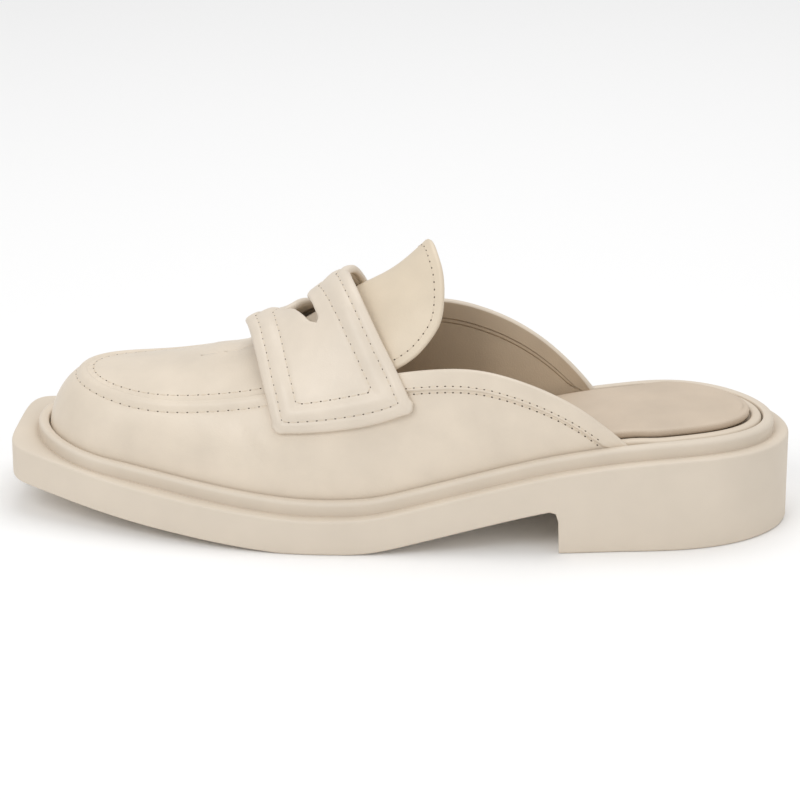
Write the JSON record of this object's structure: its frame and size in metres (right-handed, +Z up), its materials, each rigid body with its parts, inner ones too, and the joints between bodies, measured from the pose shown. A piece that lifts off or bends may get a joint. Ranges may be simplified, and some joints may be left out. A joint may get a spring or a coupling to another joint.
{
  "type": "penny loafer mule",
  "caption": "Closed toe, open heel slipper with a raised apron seam, slotted saddle strap, free tongue, padded sock and a moulded square toe sole with a block heel.",
  "frame": {"origin": "on the ground under the middle of the sole's box", "axes": "the heel points to +X and the toe to -X, +Y is the inner (medial) side, +Z is up"},
  "size_m": [0.267, 0.1039, 0.0965],
  "materials": {
    "sole": "matt moulded cream",
    "footbed": "matt moulded cream",
    "sock": "matt beige",
    "upper_leather": "smooth cream with a soft sheen",
    "tongue_leather": "smooth cream with a soft sheen",
    "strap_leather": "smooth cream with a soft sheen"
  },
  "bodies": {
    "root": {"outsole": "sole", "midsole": "footbed", "insole": "sock", "upper": "upper_leather", "tongue": "tongue_leather", "strap": "strap_leather"}
  },
  "joints": []
}
